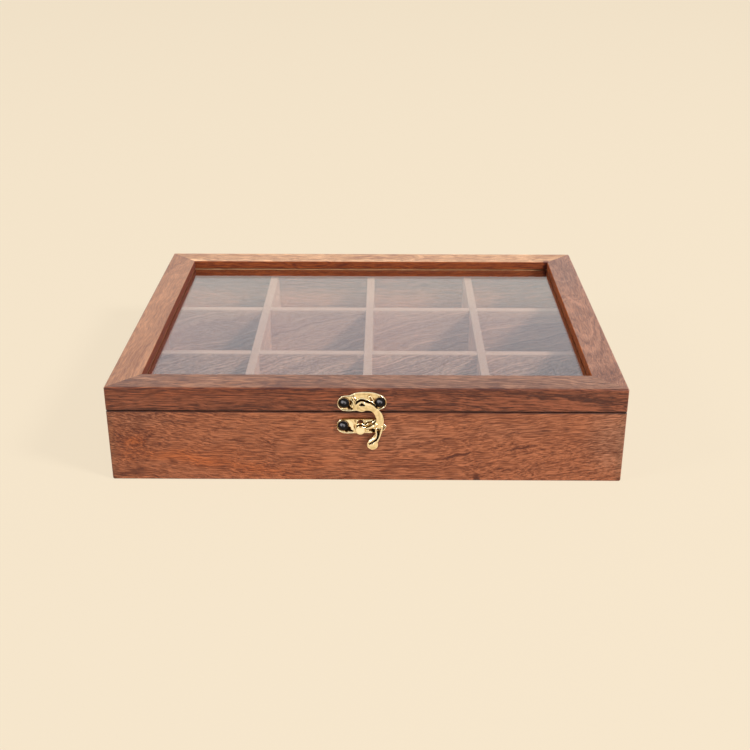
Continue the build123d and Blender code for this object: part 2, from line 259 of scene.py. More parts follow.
def grain(wood, place, turn, seed, heart, bow=0.0, slant=0.0, curl=1.0, fuzz=1.0):
    """A board's tone, about 0.5 on average, and then its fibres, its pores and its small ripple."""
    turned = wood.node("ShaderNodeMapping", {}, {"Vector": place, "Rotation": (0, 0, turn)})
    axes = wood.node("ShaderNodeSeparateXYZ", {}, {"Vector": turned})
    along, across, up = axes.output("X"), axes.output("Y"), axes.output("Z")
    offset = (seed * 1.7, seed * 0.9, seed * 2.3)

    def drawn_out(vector, scale):
        """Room for noise that is long along the grain and narrow across it, per metre."""
        sockets = {"Vector": vector, "Location": offset, "Scale": scale}
        return wood.node("ShaderNodeMapping", {}, sockets)

    slow = drawn_out(turned, SWAY)
    sway = wood.noise(slow) - 0.5
    ripple = wood.noise(drawn_out(turned, RIPPLE)) - 0.5
    drift = along * along * bow + along * slant + sway * SWAY_BENDS + ripple * (RIPPLE_BENDS * curl)

    depth = ((across + heart[0]) ** 2 + (up + heart[1]) ** 2) ** 0.5 + drift + seed
    broad = wood.streaks(depth, BANDS_PER_METRE["broad"], 1.0) - 0.5
    bands = wood.streaks(depth, BANDS_PER_METRE["bands"]) - 0.5
    rings = wood.streaks(depth, BANDS_PER_METRE["rings"]) - 0.5
    lines = wood.streaks(depth, BANDS_PER_METRE["lines"]) - 0.5

    flow = wood.node("ShaderNodeCombineXYZ", {}, {"X": along, "Y": across + drift, "Z": up + drift})
    fibres = wood.noise(drawn_out(flow, FIBRES), detail=3.0, roughness=0.6) - 0.5
    flecks = wood.noise(drawn_out(flow, FLECKS), roughness=0.6) - 0.5
    pores = wood.ramp(wood.noise(drawn_out(flow, PORES), detail=1.0, roughness=0.4), 0.58, 0.74)
    blotch = wood.noise(slow, 5.0) - 0.5
    layers = broad * 0.34 + bands * 0.40 + rings * 0.44 + lines * (blotch * 1.4 + 0.70)
    tone = layers + flecks * (0.55 * fuzz) + fibres * (2.6 * fuzz) + blotch * 0.24 + 0.52
    return tone, fibres, pores, ripple


print("the grain is a recipe for any board")

# %% [markdown]
# ## Boards
#
# Each board has its own mean colour. The grain's tone only multiplies it, darker and redder in the
# late wood, so a board can be matched to the real one by a single colour. Marks are soft ellipses
# where the real board has a streak or a knot's edge, and a few paint light: a sheen and the shade in a
# corner. Dark and light marks move the grain's tone, an ember mark warms the colour and a cooling mark
# greys it, in places as a painted sheen. Each mark is a kind, a face, a centre and a reach in mm, a
# tilt in degrees and a strength. A zone is a place, such as the joint between lid and tray, whose tint
# differs from the rest; at that joint it is a painted shadow. It only tints the wood, or covers it by
# a share.

# %% Marks
FRONT, TOP = "front", "top"
MARK_DEPTH = 20 * MM


def mark(wood, place, face, centre, reach, tilt):
    """A soft ellipse in mm on the front face or on the lid's top: 1 at its centre, 0 at its edge."""
    if face == FRONT:
        location = (centre[0] * MM, front_y, centre[1] * MM)
        rotation = (0, -radians(tilt), 0)
        scale = (reach[0] * MM, MARK_DEPTH, reach[1] * MM)
    else:
        location = (centre[0] * MM, centre[1] * MM, lid_top)
        rotation = (0, 0, radians(tilt))
        scale = (reach[0] * MM, reach[1] * MM, MARK_DEPTH)
    sockets = {"Vector": place, "Location": location, "Rotation": rotation, "Scale": scale}
    inside = wood.node("ShaderNodeMapping", {"vector_type": "TEXTURE"}, sockets)
    distance = wood.node("ShaderNodeVectorMath", {"operation": "LENGTH"}, {0: inside}).output("Value")
    return wood.ramp(distance, 1.0, 0.10)


print("a mark reaches", MARK_DEPTH / MM, "mm into the wood")

# %% Boards
GRAIN_STOPS = [
    (0.00, (0.19, 0.10, 0.075)),
    (0.25, (0.37, 0.27, 0.22)),
    (0.50, (0.56, 0.51, 0.47)),
    (0.75, (0.80, 0.78, 0.76)),
    (1.00, (1.00, 1.00, 1.00)),
]
MIDDLE = GRAIN_STOPS[2][1]
SOOT = (0.055, 0.022, 0.014)
# The cool tint greys the wood, and on some marks it is a painted sheen.
TINTS = {"ember": (1.12, 0.90, 0.56), "ash": (1.00, 1.26, 1.62)}
MARK_SHAKE = 8 * MM
FIBRE_RELIEF = 0.18 * MM
PORE_SOOT = 0.28
DULLED = 0.45


def board(name, colour, turn, seed, heart, marks=(), zones=(), lively=1.0, satin=0.40, dull=None, **bends):
    """A board's finish: its grain, its marks and the zones where its colour or its polish changes."""
    wood = Finish(f"rosewood_{name}")
    place = wood.node("ShaderNodeTexCoord").output("Object")
    tone, fibres, pores, ripple = grain(wood, place, turn, seed, heart, **bends)
    tone = (tone - 0.5) * lively + 0.5
    nudge = wood.node("ShaderNodeCombineXYZ", {}, {"Y": ripple * MARK_SHAKE, "Z": ripple * MARK_SHAKE})
    shaken = wood.node("ShaderNodeVectorMath", {"operation": "ADD"}, {0: place, 1: nudge})
    spots = [(kind, mark(wood, shaken, *where) * strength) for kind, *where, strength in marks]
    for kind, spot in spots:
        if kind == "dark":
            tone = tone - spot * (fibres * 1.5 + 1.0)
        if kind == "light":
            tone = tone + spot
    light = tuple(value / middle for value, middle in zip(colour, MIDDLE))
    ramp = wood.node("ShaderNodeValToRGB", {"stops": GRAIN_STOPS}, {"Fac": tone})
    shade = wood.tint(1.0, ramp, light, "MULTIPLY")
    for kind, spot in spots:
        if kind in TINTS:
            shade = wood.tint(spot * (fibres * 1.2 + 1.0), shade, TINTS[kind], "MULTIPLY")
    for zone, tint, *cover in zones:
        if cover:
            shade = wood.tint(zone(wood, place) * cover[0], shade, tint)
        else:
            shade = wood.tint(zone(wood, place), shade, tint, "MULTIPLY")
    shade = wood.tint(pores * PORE_SOOT, shade, SOOT)
    roughness = fibres * 0.3 + satin
    if dull:
        roughness = roughness + dull(wood, place) * DULLED
    relief = {"Height": fibres * 0.8 - pores, "Strength": 0.5, "Distance": FIBRE_RELIEF}
    return wood.surface(wood.node("ShaderNodeBsdfPrincipled", {}, {
        "Base Color": shade,
        "Roughness": roughness,
        "Normal": wood.node("ShaderNodeBump", {}, relief),
        "IOR": 1.46,
    }))


print("a board's colours run over", len(GRAIN_STOPS), "stops from late to early wood")

# %% [markdown]
# ## Zones on the boards
#
# Some places differ from the rest of their board. The lid's front face is darker than its top. The
# window's walls are redder and duller than the tops, and their tints hold painted shade too. The
# joint between lid and tray gets a painted shadow, and the upright corners a painted sheen. A painted
# mask would need UV maps. A zone is a rule on the object's own coordinates instead, with limits
# worked out from the frame, so it stays in place whatever the size of the box.

# %% Zones
seam_z = (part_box("front_wall")[1].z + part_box("lid_front_rail")[0].z) / 2
divider_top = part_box("long_divider_1")[1].z
window_half = (-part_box("lid_left_rail")[1].x, -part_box("lid_front_rail")[1].y)
half_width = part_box("right_wall")[1].x
half_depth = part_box("back_wall")[1].y


def axes_of(wood, place):
    return wood.node("ShaderNodeSeparateXYZ", {}, {"Vector": place})


def outer_face(wood, place):
    """1 on the lid's front face and 0 on its top."""
    return wood.ramp(axes_of(wood, place).output("Y"), front_y + 0.9 * MM, front_y + 0.2 * MM)


def window_wall(wood, place):
    """1 on the walls of the lid's window and 0 elsewhere."""
    axes = axes_of(wood, place)
    beside = abs(axes.output("X")) - window_half[0]
    behind = abs(axes.output("Y")) - window_half[1]
    return wood.ramp(beside.most(behind), 0.6 * MM, 0.15 * MM)


def joint_shadow(wood, place):
    """1 on the outside at the joint between lid and tray, where the gap's shadow is painted in."""
    axes = axes_of(wood, place)
    outside = (abs(axes.output("X")) - half_width).most(abs(axes.output("Y")) - half_depth)
    near = wood.ramp(abs(axes.output("Z") - seam_z), 1.1 * MM, 0.3 * MM)
    return near * wood.ramp(outside, -1.2 * MM, -0.7 * MM)


def top_edge(wood, place):
    """1 on a divider's top edge, which is paler than its faces."""
    return wood.ramp(axes_of(wood, place).output("Z"), divider_top - 0.9 * MM, divider_top - 0.3 * MM)


def corner_sheen(wood, place):
    """1 at the box's upright corners, where a cooler, greyer tint paints a sheen."""
    return wood.ramp(abs(axes_of(wood, place).output("X")), half_width - 5 * MM, half_width - 0.5 * MM)


print("the window measures", [round(2 * half, 4) for half in window_half])

# %% [markdown]
# ## The tray's walls
#
# The four walls are mitred boards. The front one was cut beside a knot: an orange patch and a dusky
# corner at the lower left, two short dark lines and a nick at the lower right, a thin pale streak of
# painted sheen high up just right of the middle, and a greyer end on the right, which is a painted
# sheen too. Its grain rises a little and bows. A scan of the board would hold one picture of it.
# Marks on the procedural grain keep it sharp at any distance, and the other three walls, which the
# picture doesn't show, get the same wood without marks.

# %% Tray walls
front_marks = [
    ("ember", FRONT, (-114.5, 21.5), (9, 5), 15, 1.10),
    ("light", FRONT, (-114.5, 21.5), (6, 3.2), 20, 0.22),
    ("dark", FRONT, (-108, 24.5), (7, 1.4), 30, 0.26),
    ("dark", FRONT, (-120, 24.0), (5, 1.6), -35, 0.22),
    ("ember", FRONT, (-94, 13), (36, 5.5), -7, 0.80),
    ("ember", FRONT, (-64, 8.4), (40, 4), -5, 0.62),
    ("light", FRONT, (-92, 13), (26, 3), -8, 0.14),
    ("dark", FRONT, (-114, 3.5), (24, 4.2), -4, 0.26),
    ("ember", FRONT, (-72, 16), (34, 7), -6, 0.34),
    ("ember", FRONT, (-52, 4), (34, 5), -3, 0.42),
    ("ember", FRONT, (-28, 10), (16, 6), 3, 0.42),
    ("dark", FRONT, (-97, 20), (11, 3.2), -3, 0.14),
    ("dark", FRONT, (-92, 33), (12, 3), -4, 0.14),
    ("dark", FRONT, (-118, 3), (14, 3), 0, 0.12),
    ("dark", FRONT, (-117, 22), (20, 30), 0, 0.17),
    ("dark", FRONT, (-100, 34), (30, 6), -2, 0.14),
    ("ash", FRONT, (-112, 34), (26, 8), 0, 0.40),
    ("dark", FRONT, (45, 14.4), (15, 1.0), 8, 0.70),
    ("dark", FRONT, (76, 18.2), (12, 0.9), 5, 0.65),
    ("dark", FRONT, (118, 17.5), (13, 3), -4, 0.16),
    ("dark", FRONT, (20, 8), (26, 6), 5, 0.17),
    ("dark", FRONT, (54.9, 1.6), (2.4, 2.8), 0, 1.2),
    ("dark", FRONT, (98, 6), (34, 4), 0, 0.09),
    ("light", FRONT, (-17, 13), (9, 12), 0, 0.13),
    ("ember", FRONT, (-118, 14), (8, 5), 0, 0.40),
    ("light", FRONT, (-118, 14), (8, 5), 0, 0.07),
    ("light", FRONT, (82, 12.5), (52, 4), 2, 0.09),
    # A painted sheen streak.
    ("light", FRONT, (24, 29), (22, 1.6), 7, 0.10),
    # The greyer right end is a painted sheen.
    ("ash", FRONT, (122, 24), (20, 26), 0, 0.95),
    ("ash", FRONT, (20, 24), (26, 12), 6, 0.35),
    ("ash", FRONT, (70, 28), (34, 8), 4, 0.25),
]
# A painted shadow in the gap between lid and tray.
SEAM_SHADE = (0.21, 0.15, 0.12)
CORNER_SHEEN = (0.86, 0.94, 1.0)
# The upright corners' cooler tint is a painted sheen.
edges = [(joint_shadow, SEAM_SHADE), (corner_sheen, CORNER_SHEEN)]
tray_walls = {
    "front": board("front_wall", (0.252, 0.075, 0.030), X_GRAIN, 0.31, (0.02, 0.25), front_marks, edges,
                   bow=-0.75, curl=1.4),
    "back": board("back_wall", (0.36, 0.135, 0.058), X_GRAIN, 0.72, (-0.06, 0.2), (), edges,
                  bow=-0.2, lively=0.6),
    "left": board("left_wall", (0.26, 0.079, 0.032), Y_GRAIN, 0.13, (0.16, 0.12), (), edges, slant=0.02),
    "right": board("right_wall", (0.26, 0.080, 0.033), Y_GRAIN, 0.57, (-0.09, 0.15), (), edges,
                   slant=-0.03),
}
for side, finish in tray_walls.items():
    dress([f"{side}_wall"], finish)
print(len(tray_walls), "walls are dressed, the front one with", len(front_marks), "marks")

# %% [markdown]
# ## The lid's rails
#
# Four rails meet in mitres around the window, so the grain turns the corner with them: it runs along
# x in the front and back rails and along y in the side ones. Each rail was cut from another part of
# the board and has its own colour, the back one the palest. Their window walls are redder and duller
# than their tops, and each wall's tint also paints in the shade on its side. Every rail is one
# material, since a CAD piece keeps its own mesh, and the zones tell its faces apart.

# %% Marks on the lid
lid_marks = [
    ("dark", FRONT, (84, 47.6), (52, 1.9), -5, 0.42),
    ("dark", FRONT, (112, 46.0), (26, 2.6), -5, 0.12),
    ("dark", FRONT, (30, 42.0), (46, 1.5), -4, 0.32),
    ("dark", FRONT, (92, 40.8), (44, 1.3), -4, 0.30),
    ("light", FRONT, (72, 43.9), (46, 1.5), -5, 0.16),
    ("light", FRONT, (18, 45.6), (30, 1.4), -2, 0.12),
    ("dark", FRONT, (-60, 40), (28, 3), 2, 0.17),
    ("ember", FRONT, (-98, 46), (10, 3), 0, 0.35),
    ("dark", FRONT, (-46, 44), (42, 8), 0, 0.13),
    ("dark", FRONT, (-62, 49.6), (96, 4.0), 0, 0.16),
    ("ember", FRONT, (-62, 49.0), (100, 3.8), 0, 0.38),
    ("light", FRONT, (90, 43.6), (46, 6), -3, 0.33),
    ("light", TOP, (-72, -94), (66, 14), 0, 0.20),
    ("dark", TOP, (66, -94), (106, 16), 0, 0.09),
    ("dark", TOP, (116, -94), (26, 16), 0, 0.08),
    ("ash", TOP, (66, -94), (106, 16), 0, 0.16),
    ("ember", FRONT, (-20, 46), (26, 3), 0, 0.20),
]
right_marks = [
    ("light", TOP, (118.5, 17), (24, 2.2), -66, 0.20),
    ("dark", TOP, (120, 2), (22, 4), -64, 0.16),
    ("dark", TOP, (120, 66), (10, 40), 0, 0.15),
    ("dark", TOP, (120, -84), (12, 24), 0, 0.19),
    ("ash", TOP, (120, 66), (12, 52), 0, 0.45),
    # Painted shade in the window's back-right corner.
    ("dark", TOP, (110.5, 86), (2.0, 2.6), 0, 0.8),
]
left_marks = [
    ("light", TOP, (-119, 20), (6, 14), 0, 0.10),
    ("light", TOP, (-121, -22), (6, 18), 8, 0.10),
    ("dark", TOP, (-118, -66), (8, 16), 10, 0.08),
]
back_marks = [
    ("dark", TOP, (-70, 94), (60, 9), 0, 0.10),
    ("dark", TOP, (-4, 94), (44, 9), 0, 0.16),
    ("dark", TOP, (-116, 95), (20, 14), 0, 0.20),
    ("dark", TOP, (115, 95), (19, 14), 0, 0.20),
    # Painted shade in the window's back-right corner.
    ("dark", TOP, (110.5, 86), (2.6, 2.6), 0, 0.9),
]
print("the rails have", len(lid_marks + right_marks + left_marks + back_marks), "marks")

# %% Lid rails
seam = edges[0]
face_zone = (outer_face, (0.62, 0.375, 0.290))
# Each window wall's tint makes it redder and also paints in the shade on that side.
wall_zone = (window_wall, (0.36, 0.135, 0.045))
right_wall_zone = (window_wall, (1.12, 0.58, 0.098))
back_wall_zone = (window_wall, (0.42, 0.165, 0.062))
rails = {
    "front": board("front_rail", (0.252, 0.104, 0.052), X_GRAIN, 1.13, (0.10, 0.11), lid_marks,
                   [face_zone, wall_zone, seam], slant=0.03, lively=1.25, dull=window_wall),
    "back": board("back_rail", (0.615, 0.322, 0.158), X_GRAIN, 1.61, (-0.05, 0.16), back_marks,
                  [back_wall_zone, seam], slant=0.01, lively=0.8, dull=window_wall),
    "left": board("left_rail", (0.352, 0.147, 0.068), Y_GRAIN, 1.27, (0.16, 0.12), left_marks,
                  [wall_zone, seam], slant=0.03, lively=0.60, fuzz=0.8, dull=window_wall),
    "right": board("right_rail", (0.262, 0.105, 0.056), Y_GRAIN, 1.93, (-0.09, 0.10), right_marks,
                   [right_wall_zone, seam], slant=0.08, lively=0.85, fuzz=0.80, dull=window_wall),
}
for side, finish in rails.items():
    dress([f"lid_{side}_rail"], finish)
print(len(rails), "rails are dressed")

# %% [markdown]
# ## Dividers and bottom panel
#
# The dividers are thin boards of the same wood, left without polish, and so is the panel under
# them. A divider's top edge is paler than its faces, in each of them by a little more or less. Seen
# through the glass, the faces of the left-to-right dividers show long wavy bands, so their grain is
# slanted and curls more.

# %% Dividers and bottom panel
TOP_EDGE_WOOD = (0.458, 0.260, 0.172)
TOP_EDGE_SHARE = 0.85
BARE = 0.6
for number, seed, pale in ((1, 0.4, 0.88), (2, 0.9, 0.90), (3, 1.4, 0.78)):
    pale_top_zone = [(top_edge, tuple(pale * value for value in TOP_EDGE_WOOD), TOP_EDGE_SHARE)]
    name = f"cross_divider_{number}"
    dress([name], board(name, (0.41, 0.192, 0.108), Y_GRAIN, seed, (0.1, 0.08), (), pale_top_zone,
                        satin=BARE, lively=0.8))
pale_top_zone = [(top_edge, TOP_EDGE_WOOD, TOP_EDGE_SHARE)]
for number, seed, slant, lively in ((1, 0.2, -0.26, 1.45), (2, 0.7, -0.18, 0.90)):
    name = f"long_divider_{number}"
    dress([name], board(name, (0.36, 0.172, 0.100), X_GRAIN, seed, (0.09, 0.1), (), pale_top_zone,
                        satin=BARE, slant=slant, curl=2.0, lively=lively, fuzz=0.45))
panel = board("bottom_panel", (0.335, 0.150, 0.082), X_GRAIN, 0.5, (0.02, 0.2), satin=0.65, lively=0.75)
dress(["bottom_panel"], panel)
print("every board is dressed")

# %% [markdown]
# ## Glass
#
# Clear glass bends light, and a lamp seen through it counts as a caustic, which a path tracer finds
# only by luck. The compartments would stay black. So the pane is true glass to the eye and simply
# clear to the lamps: a Light Path node mixes in a transparent shader for shadow and diffuse rays.

# %% Glass
def clear_glass():
    """Glass that the camera sees as glass and that lets the lamps' light straight through."""
    pane = Finish("clear_glass")
    ray = pane.node("ShaderNodeLightPath")
    straight = ray.output("Is Shadow Ray").most(ray.output("Is Diffuse Ray"))
    glass = pane.node("ShaderNodeBsdfPrincipled", {}, {
        "Base Color": (0.97, 0.985, 0.98, 1.0),
        "Roughness": 0.0,
        "IOR": 1.52,
        "Transmission Weight": 1.0,
    })
    clear = pane.node("ShaderNodeBsdfTransparent", {}, {"Color": (0.93, 0.94, 0.94, 1.0)})
    return pane.surface(pane.blend(straight, glass, clear))


dress(["glass_pane"], clear_glass())
print("the pane is clear")

# %% [markdown]
# ## Brass and black screws
#
# The latch is cast brass, polished by tumbling, so its high places are bright and its hollows keep
# some dark. Ambient Occlusion would find the hollows, but it is slow and darkens a piece beside its
# neighbours too. Here each casting carries two attributes of its own instead, worked out from its
# relief further below. The first turns the brass umber and then black: in hollows as patina, and
# along strokes as painted shade and painted dark reflections. The second turns it pale: on high
# places as rubbed brass, and along strokes as painted highlights. A piece without these attributes,
# such as a hinge leaf, reads 0 for both and keeps its plain colour with its dull patches.

# %% Metals
# Colours for patina in hollows, and for the strokes' painted shade and dark reflections.
UMBER = (0.40, 0.21, 0.07)
BLACK_PATINA_AND_SHADE = (0.012, 0.007, 0.003)
METAL_RELIEF = 0.04 * MM


def metal(name, colour, roughness, metallic=1.0, tarnish=None, bright=None, ior=1.5):
    """A metal that is dull in patches, dark in its hollows and painted shade, and pale where rubbed and at
    painted highlights.
    """
    finish = Finish(name)
    place = finish.node("ShaderNodeTexCoord").output("Object")
    uneven = finish.noise(place, 900.0, 3.0)
    patches = finish.ramp(finish.noise(place, 420.0, 3.0, 0.6), 0.42, 0.66)
    hollow = finish.node("ShaderNodeAttribute", {"attribute_name": "hollow"}).output("Fac")
    rubbed = finish.node("ShaderNodeAttribute", {"attribute_name": "rubbed"}).output("Fac")
    shade = finish.tint(patches, colour, tarnish or colour)
    shade = finish.tint(rubbed, shade, bright or colour)
    shade = finish.tint(finish.ramp(hollow, 0.05, 0.60), shade, UMBER, "MULTIPLY")
    shade = finish.tint(finish.ramp(hollow, 0.45, 0.90), shade, BLACK_PATINA_AND_SHADE)
    relief = {"Height": uneven, "Strength": 0.3, "Distance": METAL_RELIEF}
    return finish.surface(finish.node("ShaderNodeBsdfPrincipled", {}, {
        "Base Color": shade,
        "Roughness": uneven * 0.08 + patches * 0.04 + hollow * 0.25 + roughness,
        "Metallic": metallic,
        "IOR": ior,
        "Normal": finish.node("ShaderNodeBump", {}, relief),
    }))


# The bright colour is rubbed brass on high places and a painted highlight on negative strokes.
brass = metal("polished_brass", (0.84, 0.69, 0.41), 0.12,
              tarnish=(0.66, 0.52, 0.28), bright=(1.0, 0.91, 0.66))
hinge_brass = metal("hinge_brass", (0.80, 0.60, 0.26), 0.22, tarnish=(0.62, 0.42, 0.16))
# Its bright colour is the screws' painted highlight.
black = metal("blackened_screw", (0.002, 0.001, 0.001), 0.26, 0.0,
              tarnish=(0.007, 0.006, 0.007), bright=(0.200, 0.200, 0.230), ior=1.20)
steel = metal("nail_steel", (0.5, 0.5, 0.52), 0.30, tarnish=(0.32, 0.31, 0.30))
for side in ("left", "right"):
    dress([f"{side}_hinge_{part}" for part in ("base_leaf", "lid_leaf", "pin")], hinge_brass)
dress(["hinge_base_screws", "hinge_lid_screws"], black)
dress(["bottom_panel_nails"], steel)
print("hinges, their screws and the nails are dressed")

# %% [markdown]
# ## How a casting is modelled
#
# A casting has no sharp inner corners, because the wax pattern is built up from blobs and threads
# that melt into each other. The same works in mesh: overlapping closed shapes are piled up on a
# bench in millimetres, and a voxel remesh fuses them into one skin, which is then smoothed. The
# bench lies flat, with x to the right, y up the box's front and z out of it. Its origin is on the
# front face at the joint between tray and lid. The last step stands the piece up on the box.

# %% The bench
LATCH_X = -1.6
ON_FRONT = (Matrix.Scale(MM, 4) @ Matrix.Translation((LATCH_X, front_y / MM, seam_z / MM))
            @ Matrix.Rotation(pi / 2, 4, "X"))
DOUBLES = 0.001


def skin_of(piece):
    """The mesh of an object with its modifiers applied; the object and its data are removed."""
    bpy.context.view_layer.update()
    skin = bpy.data.meshes.new_from_object(piece.evaluated_get(bpy.context.evaluated_depsgraph_get()))
    bpy.data.batch_remove([piece, piece.data])
    return skin


def line_mesh(points, closed, radii=None):
    """A smooth line through points on the bench, as edges, or as a tube where radii are given."""
    data = bpy.data.curves.new("line", "CURVE")
    data.dimensions = "3D"
    data.resolution_u = 8
    spline = data.splines.new("BEZIER")
    spline.bezier_points.add(len(points) - 1)
    for knot, point in zip(spline.bezier_points, points):
        knot.co = (*point, 0)
        knot.handle_left_type = "AUTO"
        knot.handle_right_type = "AUTO"
    spline.use_cyclic_u = closed
    if radii:
        data.bevel_depth = 1.0
        data.bevel_resolution = 4
        data.use_fill_caps = True
        for knot, radius in zip(spline.bezier_points, radii):
            knot.radius = radius
    return skin_of(placed("line", data))


def melt(piece, voxel):
    """Fuses an object's closed shapes into one skin."""
    remesh = piece.modifiers.new("melt", "REMESH")
    remesh.mode = "VOXEL"
    remesh.voxel_size = voxel


print("the bench's origin is", round(seam_z / MM, 2), "mm above the floor")

# %% Castings
class Casting:
    """Closed shapes piled up on the bench, fused and smoothed at the end."""

    def __init__(self):
        self.shapes = bmesh.new()

    def add(self, shape):
        """Lays a closed shape on the pile."""
        bmesh.ops.recalc_face_normals(shape, faces=shape.faces)
        part = bpy.data.meshes.new("part")
        shape.to_mesh(part)
        shape.free()
        self.shapes.from_mesh(part)
        bpy.data.meshes.remove(part)

    def slab(self, outline, bottom, top):
        """A flat plate with a smooth outline."""
        ring = bmesh.new()
        ring.from_mesh(line_mesh(outline, closed=True))
        bmesh.ops.remove_doubles(ring, verts=ring.verts, dist=DOUBLES)
        bmesh.ops.translate(ring, verts=ring.verts, vec=(0, 0, bottom))
        face = bmesh.ops.contextual_create(ring, geom=ring.edges)["faces"]
        grown = bmesh.ops.extrude_face_region(ring, geom=face, use_keep_orig=True)["geom"]
        raised = [item for item in grown if isinstance(item, bmesh.types.BMVert)]
        bmesh.ops.translate(ring, verts=raised, vec=(0, 0, top - bottom))
        self.add(ring)

    def bead(self, points, radii, height, flat=1.0, closed=False):
        """A tapering thread along a smooth line at a height, pressed flat by a factor."""
        tube = bmesh.new()
        tube.from_mesh(line_mesh(points, closed, radii))
        bmesh.ops.scale(tube, verts=tube.verts, vec=(1, 1, flat))
        bmesh.ops.translate(tube, verts=tube.verts, vec=(0, 0, height))
        self.add(tube)

    def rim(self, outline, middle, inset, radius, height, flat):
        """A thread all round an outline, drawn in towards its middle by an inset."""
        middle = Vector(middle)
        inner = [tuple(Vector(point) - (Vector(point) - middle).normalized() * inset) for point in outline]
        self.bead(inner, [radius] * len(inner), height, flat, closed=True)

    def blob(self, centre, reach, angle=0.0):
        """A flattened ball, for leaves and pearls."""
        ball = bmesh.new()
        bmesh.ops.create_uvsphere(ball, u_segments=24, v_segments=16, radius=1)
        bmesh.ops.scale(ball, verts=ball.verts, vec=reach)
        bmesh.ops.rotate(ball, verts=ball.verts, matrix=Matrix.Rotation(radians(angle), 3, "Z"))
        bmesh.ops.translate(ball, verts=ball.verts, vec=centre)
        self.add(ball)

    def drum(self, centre, radius, bottom, top, shoulder=0.0):
        """A round boss, narrower at its top by the shoulder."""
        boss = bmesh.new()
        bmesh.ops.create_cone(boss, cap_ends=True, segments=48, radius1=radius, radius2=radius - shoulder,
                              depth=top - bottom)
        bmesh.ops.translate(boss, verts=boss.verts, vec=(*centre, (top + bottom) / 2))
        self.add(boss)

    def fuse(self, voxel=0.10, smooths=3, cutter=None):
        """One closed skin round everything, with the cutter's shapes taken away first."""
        data = bpy.data.meshes.new("pile")
        self.shapes.to_mesh(data)
        pile = placed("pile", data)
        melt(pile, voxel)
        tool = None
        if cutter:
            tool_data = bpy.data.meshes.new("tool")
            cutter.shapes.to_mesh(tool_data)
            tool = placed("tool", tool_data)
            melt(tool, voxel)
            cut = pile.modifiers.new("cut", "BOOLEAN")
            cut.operation = "DIFFERENCE"
            cut.solver = "EXACT"
            cut.object = tool
            melt(pile, voxel)
        smooth = pile.modifiers.new("smooth", "SMOOTH")
        smooth.iterations = smooths
        skin = skin_of(pile)
        if tool:
            bpy.data.batch_remove([tool, tool.data])
        fused = bmesh.new()
        fused.from_mesh(skin)
        bpy.data.meshes.remove(skin)
        return fused


print("castings can be piled up, cut and fused")

# %% [markdown]
# ## Where a casting keeps dark, and where shade and highlights are painted
#
# After polishing, dark stays in the creases between a casting's forms, and hands brighten what
# stands proud. Both can be read from the relief itself: a copy of the heights is smoothed over and
# over, and a point that lies below the smoothed level is in a hollow. Strokes add the rest, each a
# line with a half width, a depth in mm and a strength of dark. Some press in creases too fine for
# that, and many paint shade and reflections: the shadow along the arm's upper edge and along the
# hook, contact shadows round the screws, and dark reflections of the black screws and in the rivet's
# dimple. A stroke of negative strength is a painted highlight, where a face leans towards the light.

# %% Hollows, painted shade and painted highlights
HOLLOW_STEPS = 60
HOLLOW_DEPTH = 0.30
HOLLOW_DARK = 0.85
RUBBED_HEIGHT = 0.22
STROKE_FLOOR = 0.20
STROKE_RISE = 0.50


def distances(points, line):
    """Each point's distance to a line through knots, seen from the front."""
    nearest = np.full(len(points), np.inf)
    for start, end in zip(line, line[1:]):
        start, step = np.array(start), np.array(end) - np.array(start)
        share = np.clip((points[:, :2] - start) @ step / (step @ step), 0.0, 1.0)
        foot = start + share[:, None] * step
        nearest = np.minimum(nearest, np.linalg.norm(points[:, :2] - foot, axis=1))
    return nearest


def sunk(data, points):
    """How far each point lies below the mean height around it in mm; above it is less than nothing."""
    ends = np.empty(2 * len(data.edges), dtype=np.int64)
    data.edges.foreach_get("vertices", ends)
    one, other = ends[0::2], ends[1::2]
    count = np.bincount(ends, minlength=len(points))
    level = points[:, 2].copy()
    for _ in range(HOLLOW_STEPS):
        around = np.bincount(one, level[other], len(points)) + np.bincount(other, level[one], len(points))
        level = (level + around / count) / 2
    return level - points[:, 2]


def age(data, strokes, rubbed_height):
    """Presses strokes into a casting's front, then notes where it is dark, from patina and painted shade,
    and where it is pale, from rubbing and painted highlights.
    """
    points = np.empty(3 * len(data.vertices))
    data.vertices.foreach_get("co", points)
    points = points.reshape(-1, 3)
    back = points[:, 2].min()
    dark_share = np.zeros(len(points))
    shine = np.zeros(len(points))
    for line, half_breadth, depth, strength in strokes:
        soft = np.clip(2.0 * (1 - distances(points, line) / half_breadth), 0.0, 1.0)
        lift = np.clip((points[:, 2] - back - STROKE_FLOOR) / STROKE_RISE, 0.0, 1.0)
        points[:, 2] -= depth * soft * lift
        dark_share = np.maximum(dark_share, strength * soft)
        shine = np.maximum(shine, -strength * soft)
    low = sunk(data, points)
    dark_share = np.maximum(dark_share, HOLLOW_DARK * np.clip(low / HOLLOW_DEPTH, 0.0, 1.0))
    rubbed = np.maximum(shine, np.clip(-low / rubbed_height, 0.0, 1.0)) * (1 - dark_share)
    data.vertices.foreach_set("co", points.ravel())
    data.attributes.new("hollow", "FLOAT", "POINT").data.foreach_set("value", dark_share)
    data.attributes.new("rubbed", "FLOAT", "POINT").data.foreach_set("value", rubbed)


print("a hollow is fully dark", HOLLOW_DEPTH, "mm below the level around it")

